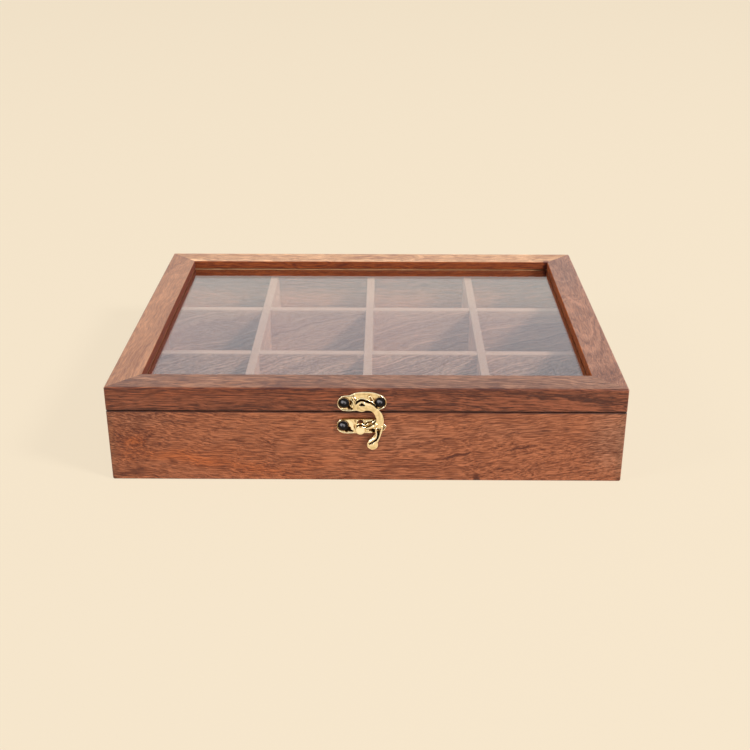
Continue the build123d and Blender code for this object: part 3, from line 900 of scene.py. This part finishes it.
# %% Standing a piece on the box
def stand(shape, name, body, finish, strokes=(), rubbed_height=RUBBED_HEIGHT):
    """Stands a bench shape up on the front of the box as a finished piece of its node."""
    bmesh.ops.recalc_face_normals(shape, faces=shape.faces)
    for face in shape.faces:
        face.smooth = True
    data = bpy.data.meshes.new(name)
    shape.to_mesh(data)
    shape.free()
    age(data, strokes, rubbed_height)
    data.transform(ON_FRONT)
    data.materials.append(finish)
    piece = placed(f"{name}_cast", data)
    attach(piece, body)
    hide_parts(name)
    print(name, "has", len(data.polygons), "faces")


print("castings stand on the front face at y =", round(front_y / MM, 1), "mm")

# %% [markdown]
# ## The latch's upper plate
#
# The plate is a shallow dish with a bright raised rim. A plain arched band crowns it, and between
# the left screw and the arm's eye the pattern maker laid a few scrolls, with one small peaked leaf
# on the right. Such leaves and scrolls are stock ornament. Each is a thread or a pearl on the dish.

# %% Upper plate
PIVOT = (0.0, 4.5)
PLATE_MIDDLE = (0.0, 5.2)
RIM_INSET = 0.34
SCREW_RING = 2.85


def ring_of(centre, radius, knots=16):
    """Points round a circle, back to the first."""
    turns = [2 * pi * knot / knots for knot in range(knots + 1)]
    return [(centre[0] + radius * cos(turn), centre[1] + radius * sin(turn)) for turn in turns]


plate_screws = [(-9.0, 5.2), (8.45, 5.6)]
plate_outline = [
    (-12.3, 4.9), (-12.0, 6.6), (-11.3, 7.7), (-10.0, 8.7), (-7.8, 9.1), (-6.1, 9.3), (-5.1, 9.6),
    (-4.3, 10.1), (-3.4, 10.6), (-1.2, 11.0), (1.2, 11.1), (3.8, 11.0), (6.4, 10.5), (7.7, 9.95),
    (9.7, 9.0), (11.0, 7.75), (11.6, 5.9), (11.4, 4.1), (10.4, 2.8), (9.0, 2.0), (7.0, 1.4), (3.0, 1.1),
    (-3.8, 1.05), (-8.2, 1.0), (-10.5, 1.6), (-11.9, 3.2),
]
raised_middle = [
    (-5.4, 2.0), (-5.0, 5.0), (-5.3, 7.4), (-4.2, 8.9), (-1.6, 9.9), (2.4, 10.2), (6.6, 9.6), (7.4, 8.6),
    (6.0, 7.4), (5.4, 5.0), (6.0, 2.2), (3.0, 1.8), (-2.0, 1.8),
]
crown = [(-8.0, 8.7), (-6.2, 8.95), (-4.8, 9.5), (-3.0, 10.1), (1.2, 10.35), (5.2, 10.0), (8.4, 8.9)]
brow = [(-3.1, 6.3), (-1.9, 7.3), (-0.2, 7.75), (1.5, 7.3), (3.4, 6.5), (5.1, 5.5), (6.3, 4.2)]
scroll = [(-5.5, 7.0), (-4.9, 8.0), (-4.0, 8.2), (-3.3, 7.6), (-3.5, 6.9), (-4.1, 6.9)]
plate = Casting()
plate.slab(plate_outline, 0.0, 0.55)
plate.rim(plate_outline, PLATE_MIDDLE, RIM_INSET, 0.33, 0.68, 1.6)
plate.slab(raised_middle, 0.2, 1.02)
plate.bead(crown, [0.25, 0.36, 0.50, 0.70, 0.80, 0.76, 0.45], 0.74, 0.6)
plate.drum(PIVOT, 2.7, 0.2, 1.82, 0.15)
plate.bead(brow, [0.22, 0.30, 0.34, 0.34, 0.32, 0.30, 0.2], 1.12)
plate.bead([(2.5, 7.9), (3.1, 8.7), (3.8, 9.3)], [0.20, 0.30, 0.34], 1.45, 1.1)
plate.bead([(3.8, 9.3), (4.6, 7.9), (5.5, 6.3)], [0.34, 0.38, 0.22], 1.40, 1.1)
plate.bead(scroll, [0.26, 0.34, 0.42, 0.36, 0.32, 0.28], 1.15)
plate.bead([(-4.9, 2.4), (-4.7, 3.8), (-4.4, 5.2), (-4.6, 6.4)], [0.3, 0.52, 0.48, 0.3], 1.08)
plate.bead([(-3.9, 3.0), (-3.6, 4.6), (-3.3, 5.6)], [0.3, 0.42, 0.3], 1.12)
plate.blob((-5.5, 7.2, 1.1), (0.45, 0.4, 0.42))
plate_strokes = [
    ([(-7.4, 8.5), (-6.0, 8.75), (-4.6, 8.85)], 0.34, 0.15, 0.80),
    ([(-5.1, 7.6), (-4.8, 6.7)], 0.30, 0.30, 0.90),
    ([(-5.8, 6.4), (-5.6, 5.2), (-5.9, 4.2)], 0.50, 0.25, 0.95),
    # Painted dark reflection of the black screw, below right of it.
    ([(-6.9, 3.3), (-6.6, 2.5)], 1.10, 0.25, 1.00),
    ([(-6.6, 2.6), (-5.2, 2.2)], 0.75, 0.25, 1.00),
    ([(-4.0, 7.2), (-3.5, 7.3), (-3.2, 6.5), (-2.9, 5.5)], 0.24, 0.25, 0.75),
    # Painted shadow along the arm's upper edge.
    ([(-3.1, 4.9), (-2.2, 6.15), (-1.0, 6.95), (0.2, 6.95), (1.8, 6.25), (3.8, 5.45)], 0.62, 0.45, 1.00),
    ([(3.8, 5.45), (5.4, 4.4), (6.8, 3.0)], 0.40, 0.45, 0.90),
    ([(3.5, 8.2), (3.9, 7.3), (4.5, 6.5)], 0.42, 0.20, 0.62),
    ([(5.2, 8.0), (5.9, 6.8)], 0.34, 0.10, 0.45),
    ([(2.3, 8.6), (3.0, 9.3)], 0.30, 0.05, 0.35),
    ([(-4.2, 9.6), (-1.0, 10.15), (3.6, 10.15), (7.6, 9.3)], 0.75, 0.0, 0.16),
    ([(5.9, 7.4), (6.6, 8.2)], 0.90, 0.0, 0.26),
    # Painted contact shadows round the screws.
    (ring_of(plate_screws[0], SCREW_RING), 0.26, 0.10, 0.70),
    (ring_of(plate_screws[1], SCREW_RING), 0.26, 0.10, 0.60),
]
stand(plate.fuse(), "latch_plate", "lid", brass, plate_strokes)

# %% [markdown]
# ## The swing arm
#
# The arm turns on the rivet, comes over the plate in a shoulder and curves down to a round thumb
# tab. Its hook lies on a circle round the rivet, so that it slides behind the catch's tongue as the
# arm turns. The body is a slab, and flattened threads along it give the full, rounded top. Two
# ridges with a hollow between them run down the tail.

# %% Swing arm
ARM_BACK = 1.9
TAB = (4.82, -16.85)
arm_outline = [
    (-3.5, 3.6), (-3.4, 4.7), (-2.9, 5.4), (-1.95, 6.15), (-0.8, 6.9), (0.2, 6.9), (1.8, 6.25), (3.8, 5.55),
    (5.45, 4.5), (7.05, 2.75), (8.9, 0.9), (9.9, -1.3), (10.25, -4.2), (10.05, -6.5), (9.5, -8.4),
    (7.8, -8.5), (6.2, -8.2), (5.1, -7.8), (3.8, -8.0), (2.4, -8.2), (1.3, -8.3), (1.15, -7.7),
    (1.8, -7.05), (3.75, -6.45), (5.4, -5.3), (6.4, -3.4), (6.55, -2.6), (6.4, -1.3), (6.05, -0.15),
    (5.1, 1.35), (3.8, 2.15), (1.5, 1.8), (-0.5, 1.25), (-1.8, 1.6), (-2.8, 2.0),
]
tail_outline = [
    (6.2, -7.2), (9.6, -7.2), (9.6, -8.7), (8.6, -12.4), (7.6, -14.7), (7.2, -16.2), (5.0, -17.4),
    (2.4, -16.4), (2.6, -14.9), (3.75, -13.65), (4.9, -12.6), (5.8, -11.4), (6.15, -9.6),
]
arm_line = [
    (-1.5, 4.9), (0.1, 4.4), (2.6, 4.0), (5.0, 3.0), (6.9, 0.9), (8.0, -1.7), (8.4, -4.6), (8.1, -6.6),
]
right_ridge = [(9.5, -6.4), (9.25, -8.6), (8.7, -10.6), (8.1, -12.5), (7.3, -14.5), (6.9, -15.6)]
left_ridge = [
    (6.6, -7.4), (6.5, -9.0), (6.7, -10.8), (6.35, -12.6), (5.1, -13.75), (3.5, -14.85), (2.7, -15.6),
]
hook = [(6.9, -5.0), (5.8, -6.4), (4.0, -7.2), (2.4, -7.6), (1.6, -7.75)]
arm = Casting()
arm.slab(arm_outline, ARM_BACK, 2.55)
arm.slab(tail_outline, ARM_BACK, 2.3)
arm.bead(arm_line, [1.6, 2.5, 2.1, 1.75, 1.65, 1.6, 1.7, 1.5], 2.42, 0.34)
arm.bead(right_ridge, [0.55, 0.55, 0.55, 0.55, 0.52, 0.4], 2.45)
arm.bead(left_ridge, [0.44, 0.52, 0.58, 0.60, 0.62, 0.62, 0.5], 2.52, 1.15)
arm.bead(hook, [0.9, 0.68, 0.56, 0.50, 0.42], 2.50, 0.95)
arm.drum(TAB, 2.85, ARM_BACK, 2.4, 0.2)
arm.blob((4.82, -16.9, 2.3), (2.6, 2.6, 0.38))
arm.bead([(0.45, 6.35), (1.0, 6.0)], [0.24, 0.24], 3.0)
shoulder_line = [
    (-3.5, 5.1), (-2.3, 6.35), (-0.9, 7.2), (0.3, 7.2), (2.0, 6.5), (4.0, 5.8), (5.7, 4.75), (7.0, 3.3),
]
tail_groove = [(7.35, -9.6), (7.5, -11.0), (7.2, -12.9), (6.35, -14.35), (4.8, -15.65), (3.2, -16.35)]
# Painted dark reflection in the rivet's dimple, on the arm and on the rivet.
eye_strokes = [
    ([(-0.8, 5.2), (-0.3, 5.6), (0.3, 5.2)], 0.62, 0.30, 1.00),
    ([(-1.35, 4.95), (0.9, 5.0)], 0.44, 0.25, 1.00),
]
arm_strokes = eye_strokes + [
    # Painted shadow along the arm's upper edge.
    (shoulder_line, 0.42, 0.0, 1.00),
    ([(7.3, -8.3), (8.4, -8.3)], 0.55, 0.50, 1.00),
    ([(7.8, -8.8), (7.8, -10.4), (7.4, -12.4)], 0.62, 0.40, 0.72),
    (tail_groove, 0.52, 0.50, 1.00),
    # Painted shadow along the hook's upper edge.
    ([(1.3, -7.15), (3.7, -6.35), (5.3, -5.2), (6.3, -3.5)], 0.50, 0.0, 1.00),
    ([(7.7, 1.4), (8.2, -0.8), (8.3, -2.6)], 0.75, 0.06, 0.22),
    ([(-2.6, 4.6), (-2.4, 3.2)], 0.6, 0.0, 0.20),
]
stand(arm.fuse(), "latch_arm", "latch_arm", brass, arm_strokes)

# %% [markdown]
# ## The rivet
#
# The arm turns on a rivet that comes through its eye and is hammered into a low head. It is two
# drums, the shank and the head, fused with a finer voxel since it is small. The arm's eye carries a
# painted dark reflection over it, so both carry the same strokes there and the dark doesn't break at
# the head's edge.

# %% Rivet
rivet = Casting()
rivet.drum(PIVOT, 0.9, 0.3, 3.1)
rivet.drum(PIVOT, 1.15, 2.9, 3.3, 0.1)
stand(rivet.fuse(voxel=0.06), "latch_rivet", "lid", brass, eye_strokes)

# %% [markdown]
# ## The catch plate
#
# The lower plate is lanced: a tongue is cut out of the sheet, bent forward and down, and its round
# end keeps the hook in. The cut leaves an arched opening above the bend. A leaf and a few pearls
# fill the plate on the right.

# %% Catch plate
catch_screws = [(-9.6, -7.0), (7.8, -7.3)]
CATCH_MIDDLE = (-1.0, -7.2)
TONGUE_END = (-1.12, -8.14)
catch_outline = [
    (-12.7, -6.95), (-12.35, -5.3), (-11.2, -4.0), (-9.8, -3.4), (-6.0, -3.25), (-1.0, -3.2), (4.0, -3.3),
    (8.0, -3.8), (9.6, -5.0), (10.6, -6.3), (11.55, -7.05), (11.3, -8.0), (10.55, -9.3), (8.6, -10.4),
    (5.0, -10.85), (1.0, -11.0), (-5.0, -11.15), (-9.6, -10.95), (-11.6, -10.1), (-12.55, -8.6),
]
catch_middle = [
    (-6.2, -4.0), (-5.4, -6.6), (-4.7, -10.2), (-2.0, -10.4), (3.6, -10.4), (5.0, -9.4), (4.6, -7.0),
    (6.4, -4.4), (2.0, -4.0), (-3.0, -4.0),
]
tongue_root = [
    (-2.4, -8.4), (-2.4, -6.9), (-1.9, -6.1), (-1.0, -5.8), (-0.1, -6.1), (0.5, -6.9), (0.5, -8.4),
]
tongue_face = [
    (-2.9, -7.6), (-2.8, -5.9), (-2.0, -5.2), (-1.0, -4.75), (0.0, -5.2), (0.95, -6.0), (1.0, -7.6),
]
tongue_bend = [(-2.9, -5.6), (-2.0, -5.0), (-1.1, -4.6), (-0.1, -5.1), (1.0, -5.8)]
opening = [
    (-2.2, -5.9), (-2.15, -4.7), (-1.7, -4.1), (-1.0, -3.95), (-0.3, -4.1), (0.1, -4.7), (0.15, -5.9),
]
leaf = [(1.3, -6.9), (2.6, -6.1), (4.0, -5.7), (5.4, -4.7), (6.2, -4.0)]
catch = Casting()
catch.slab(catch_outline, 0.0, 0.98)
catch.rim(catch_outline, CATCH_MIDDLE, RIM_INSET, 0.30, 0.92, 1.1)
catch.slab(catch_middle, 0.2, 1.10)
catch.bead(leaf, [0.3, 0.5, 0.5, 0.5, 0.25], 1.15)
catch.bead([(1.3, -5.1), (2.4, -4.4), (3.8, -4.1), (5.0, -3.9)], [0.3, 0.35, 0.35, 0.25], 1.05)
catch.blob((2.3, -9.6, 1.15), (1.15, 0.55, 0.45), 8)
catch.blob((-3.9, -9.6, 1.0), (0.9, 0.7, 0.25))
for side in (-1, 1):
    lip = [(CATCH_MIDDLE[0] + side * out, up) for out, up in ((1.35, -4.0), (1.75, -4.8), (1.7, -5.6))]
    catch.bead(lip, [0.26, 0.34, 0.28], 1.15)
catch.bead([(10.4, -6.4), (11.2, -7.1), (10.4, -8.9)], [0.3, 0.38, 0.3], 0.95)
catch.slab(tongue_root, 0.2, 3.0)
catch.slab(tongue_face, 2.7, 3.4)
catch.bead(tongue_bend, [0.26, 0.30, 0.34, 0.30, 0.26], 3.25)
catch.drum(TONGUE_END, 2.45, 3.42, 4.0, 0.2)
catch.blob((*TONGUE_END, 3.85), (2.3, 2.3, 0.26))
lance = Casting()
lance.slab(opening, -1.0, 2.4)
leaf_line = [(0.9, -6.4), (1.9, -5.6), (2.5, -5.3), (3.1, -5.1), (3.8, -4.9), (4.6, -4.3), (5.4, -3.8)]
catch_strokes = [
    # Painted dark reflection of the black screw, below right of it.
    ([(-8.0, -9.6), (-6.8, -8.5)], 1.35, 0.30, 1.00),
    ([(-7.1, -9.3), (-6.2, -9.6)], 1.00, 0.30, 1.00),
    ([(-6.3, -9.7), (-5.0, -10.0)], 0.62, 0.30, 1.00),
    ([(-10.2, -3.4), (-6.0, -3.15), (-1.0, -3.1), (4.0, -3.2), (7.4, -3.6)], 0.50, 0.0, 0.55),
    ([(-4.15, -6.5), (-3.9, -8.3)], 0.40, 0.08, 0.50),
    ([(-3.8, -3.9), (-3.55, -5.0)], 0.30, 0.15, 0.60),
    (leaf_line, 0.32, 0.30, 1.00),
    ([(3.0, -5.9), (4.4, -5.2)], 0.45, 0.0, 0.45),
    ([(5.1, -8.9), (5.4, -9.9)], 1.25, 0.40, 1.00),
    ([(3.6, -9.3), (4.8, -9.6)], 0.75, 0.20, 0.72),
    ([(-2.8, -6.25), (-1.9, -5.7), (-1.05, -5.35), (0.0, -5.9), (1.1, -6.5)], 0.34, 0.40, 1.00),
    # Painted contact shadow round the screw.
    (ring_of(catch_screws[0], SCREW_RING), 0.26, 0.10, 0.80),
    ([(11.0, -7.2), (10.6, -8.2)], 0.35, 0.10, 0.45),
    ([(-1.0, -4.2), (-1.0, -5.9)], 1.00, 0.0, 0.45),
    # Painted highlights on the flat beside the screw and on the tongue's round end.
    ([(-6.7, -4.8), (-5.4, -6.6), (-5.3, -8.4)], 1.30, 0.0, -0.90),
    ([(-1.4, -8.2), (-0.9, -8.1)], 2.30, 0.0, -0.80),
]
stand(catch.fuse(cutter=lance), "catch_plate", "base", brass, catch_strokes)

# %% [markdown]
# ## Cross-recess screws
#
# The screw heads are low domes with a cross recess. A dome is turned from half its section, and the
# cross is cut by two crossed wedges with a Boolean. The shank is turned with it, down to its point.
# Black steel shows only where it shines, so each head gets a painted highlight: one bright stroke
# above its middle. A dome stands proud all over, which would count as rubbed, so the height at which a
# screw counts as rubbed is set far above its head.

# %% Screws
HEAD_SECTION = [(2.5, 0.0), (2.62, 0.14), (2.45, 0.44), (1.95, 0.76), (1.2, 0.94), (0.5, 1.0), (0, 1.0)]
SHANK_SECTION = [(0, -9.0), (0.5, -8.2), (0.95, -6.6), (0.95, 0.0)]
WEDGE = (2.5, 0.42, 1.2)
WEDGE_TAPER = (0.45, 0.6, 1.0)
WEDGE_HEIGHT = 0.98
NEVER_RUBBED = 4.0


def turned(profile, centre):
    """A round part from half its section, as on a lathe: points are radius and height."""
    shape = bmesh.new()
    knots = [shape.verts.new((radius, 0, height)) for radius, height in profile]
    edges = [shape.edges.new(pair) for pair in zip(knots, knots[1:])]
    bmesh.ops.spin(shape, geom=knots + edges, cent=(0, 0, 0), axis=(0, 0, 1), angle=2 * pi, steps=48,
                   use_merge=True)
    bmesh.ops.remove_doubles(shape, verts=shape.verts, dist=DOUBLES)
    bmesh.ops.translate(shape, verts=shape.verts, vec=(*centre, 0))
    return shape


def wedge(centre, height, turn):
    """One bar of the cross, narrower at its bottom."""
    bar = bmesh.new()
    bmesh.ops.create_cube(bar, size=1.0)
    bmesh.ops.scale(bar, verts=bar.verts, vec=WEDGE)
    bottom = [vert for vert in bar.verts if vert.co.z < 0]
    bmesh.ops.scale(bar, verts=bottom, vec=WEDGE_TAPER)
    bmesh.ops.rotate(bar, verts=bar.verts, matrix=Matrix.Rotation(radians(turn), 3, "Z"))
    bmesh.ops.translate(bar, verts=bar.verts, vec=(*centre, height))
    return bar


def screws(spots, seat, name, body):
    """Dome-headed screws whose heads sit at a height on the bench."""
    pair = Casting()
    crosses = Casting()
    profile = [(radius, seat + height) for radius, height in SHANK_SECTION + HEAD_SECTION]
    for number, spot in enumerate(spots):
        pair.add(turned(profile, spot))
        for turn in (20 + 30 * number, 110 + 30 * number):
            crosses.add(wedge(spot, seat + WEDGE_HEIGHT, turn))
    # Each head's painted highlight.
    gleams = [([(x - 0.7, y + 0.8), (x + 0.3, y + 0.4)], 0.9, 0.0, -1.0) for x, y in spots]
    shape = pair.fuse(smooths=2, cutter=crosses)
    stand(shape, name, body, black, gleams, rubbed_height=NEVER_RUBBED)


screws(plate_screws, 0.55, "latch_plate_screws", "lid")
screws(catch_screws, 0.80, "catch_plate_screws", "base")

# %% [markdown]
# ## The floor
#
# The box stands on a wide sheet of cream paper. A real sheet in soft light shades off towards its
# far end. To keep it even, the camera sees the paper mostly as a plain glow of its own colour, and a
# tenth of it as lit paper, which is enough for the box's soft shadow. All other rays meet the matte
# paper, so the box gets the warm light that real paper sends up to it.

# %% Floor
CREAM = (0.905, 0.776, 0.590)
FLOOR_HALF = 6.0
GLOW_SHARE = 0.90
floor_mesh = bmesh.new()
bmesh.ops.create_grid(floor_mesh, x_segments=1, y_segments=1, size=FLOOR_HALF)
floor_data = bpy.data.meshes.new("floor")
floor_mesh.to_mesh(floor_data)
floor_mesh.free()
floor = placed("floor", floor_data)
paper = Finish("cream_paper")
matte = paper.node("ShaderNodeBsdfDiffuse", {}, {"Color": (*CREAM, 1.0)})
glow = paper.node("ShaderNodeEmission", {}, {"Color": (*CREAM, 1.0), "Strength": 1.0})
seen = paper.node("ShaderNodeLightPath").output("Is Camera Ray")
floor_data.materials.append(paper.surface(paper.blend(seen * GLOW_SHARE, matte, glow)))
print("the paper is", 2 * FLOOR_HALF, "m wide")

# %% [markdown]
# ## The room
#
# Polished brass and glass show the room more than their own colour, so the room matters as much as
# the materials. It is a pale tent: the glass mirrors its upper part as a cool haze, and its low
# part is warmer and brighter. The side behind the camera is darker, and the brass needs that to look
# like metal. A picture of a room would do it too, but two soft steps on a ray's direction are
# enough. The Light Path node keeps the kinds of rays apart: mirrored rays and rays through the glass
# see the tent, the camera sees plain cream, and all others meet a weak even light.

# %% The room
BEHIND_CAMERA = (-0.35, -0.60)
LOW_PART = (0.376, 0.348)
world = bpy.data.worlds.new("studio")
bpy.context.scene.world = world
world.use_nodes = True
room = Wiring(world.node_tree)


def backdrop(colour, strength=1.0):
    """A plain surround of one colour."""
    return room.node("ShaderNodeBackground", {}, {"Color": (*colour, 1.0), "Strength": strength})


rays = room.node("ShaderNodeLightPath")
way = room.node("ShaderNodeTexCoord").output("Generated")
axes = room.node("ShaderNodeSeparateXYZ", {}, {"Vector": way})
front = room.ramp(axes.output("Y"), *BEHIND_CAMERA)
low_part = room.ramp(axes.output("Z"), *LOW_PART)
mirrored = room.blend(front, backdrop((0.985, 0.985, 1.03)), backdrop((0.62, 0.60, 0.56)))
mirrored = room.blend(low_part, mirrored, backdrop((1.0, 0.94, 0.88), 1.27))
surround = room.blend(rays.output("Is Glossy Ray"), backdrop((0.97, 0.98, 1.0), 0.42), mirrored)
surround = room.blend(rays.output("Is Transmission Ray"), surround, mirrored)
surround = room.blend(rays.output("Is Camera Ray"), surround, backdrop(CREAM))
room.node("ShaderNodeOutputWorld", {}, {"Surface": surround})
print("the room is plain and pale")

# %% [markdown]
# ## The lamps
#
# Two square softboxes light the box. The key lamp stands at the front right and gives the side
# shadow in the compartments and a gleam on the brass. The weaker fill lamp at the front left keeps
# that shadow open. Sun lamps would be simpler, but their parallel light draws hard edges. The
# Standard view transform shows a colour about as it is written, so materials can be set.

# %% Lamps
def softbox(name, towards, distance, size, watts):
    """A square lamp in a direction from the box, turned to face it."""
    lamp = bpy.data.lights.new(name, "AREA")
    lamp.shape = "SQUARE"
    lamp.size = size
    lamp.energy = watts
    holder = placed(name, lamp)
    direction = Vector(towards).normalized()
    holder.location = direction * distance
    holder.rotation_euler = direction.to_track_quat("Z", "Y").to_euler()
    print(name, "stands at", [round(v, 2) for v in holder.location])


softbox("key_lamp", towards=(1.02, -0.6, 1.0), distance=3.2, size=0.6, watts=97)
softbox("fill_lamp", towards=(-1.3, -0.6, 1.0), distance=3.2, size=0.8, watts=26)
bpy.context.scene.view_settings.view_transform = "Standard"
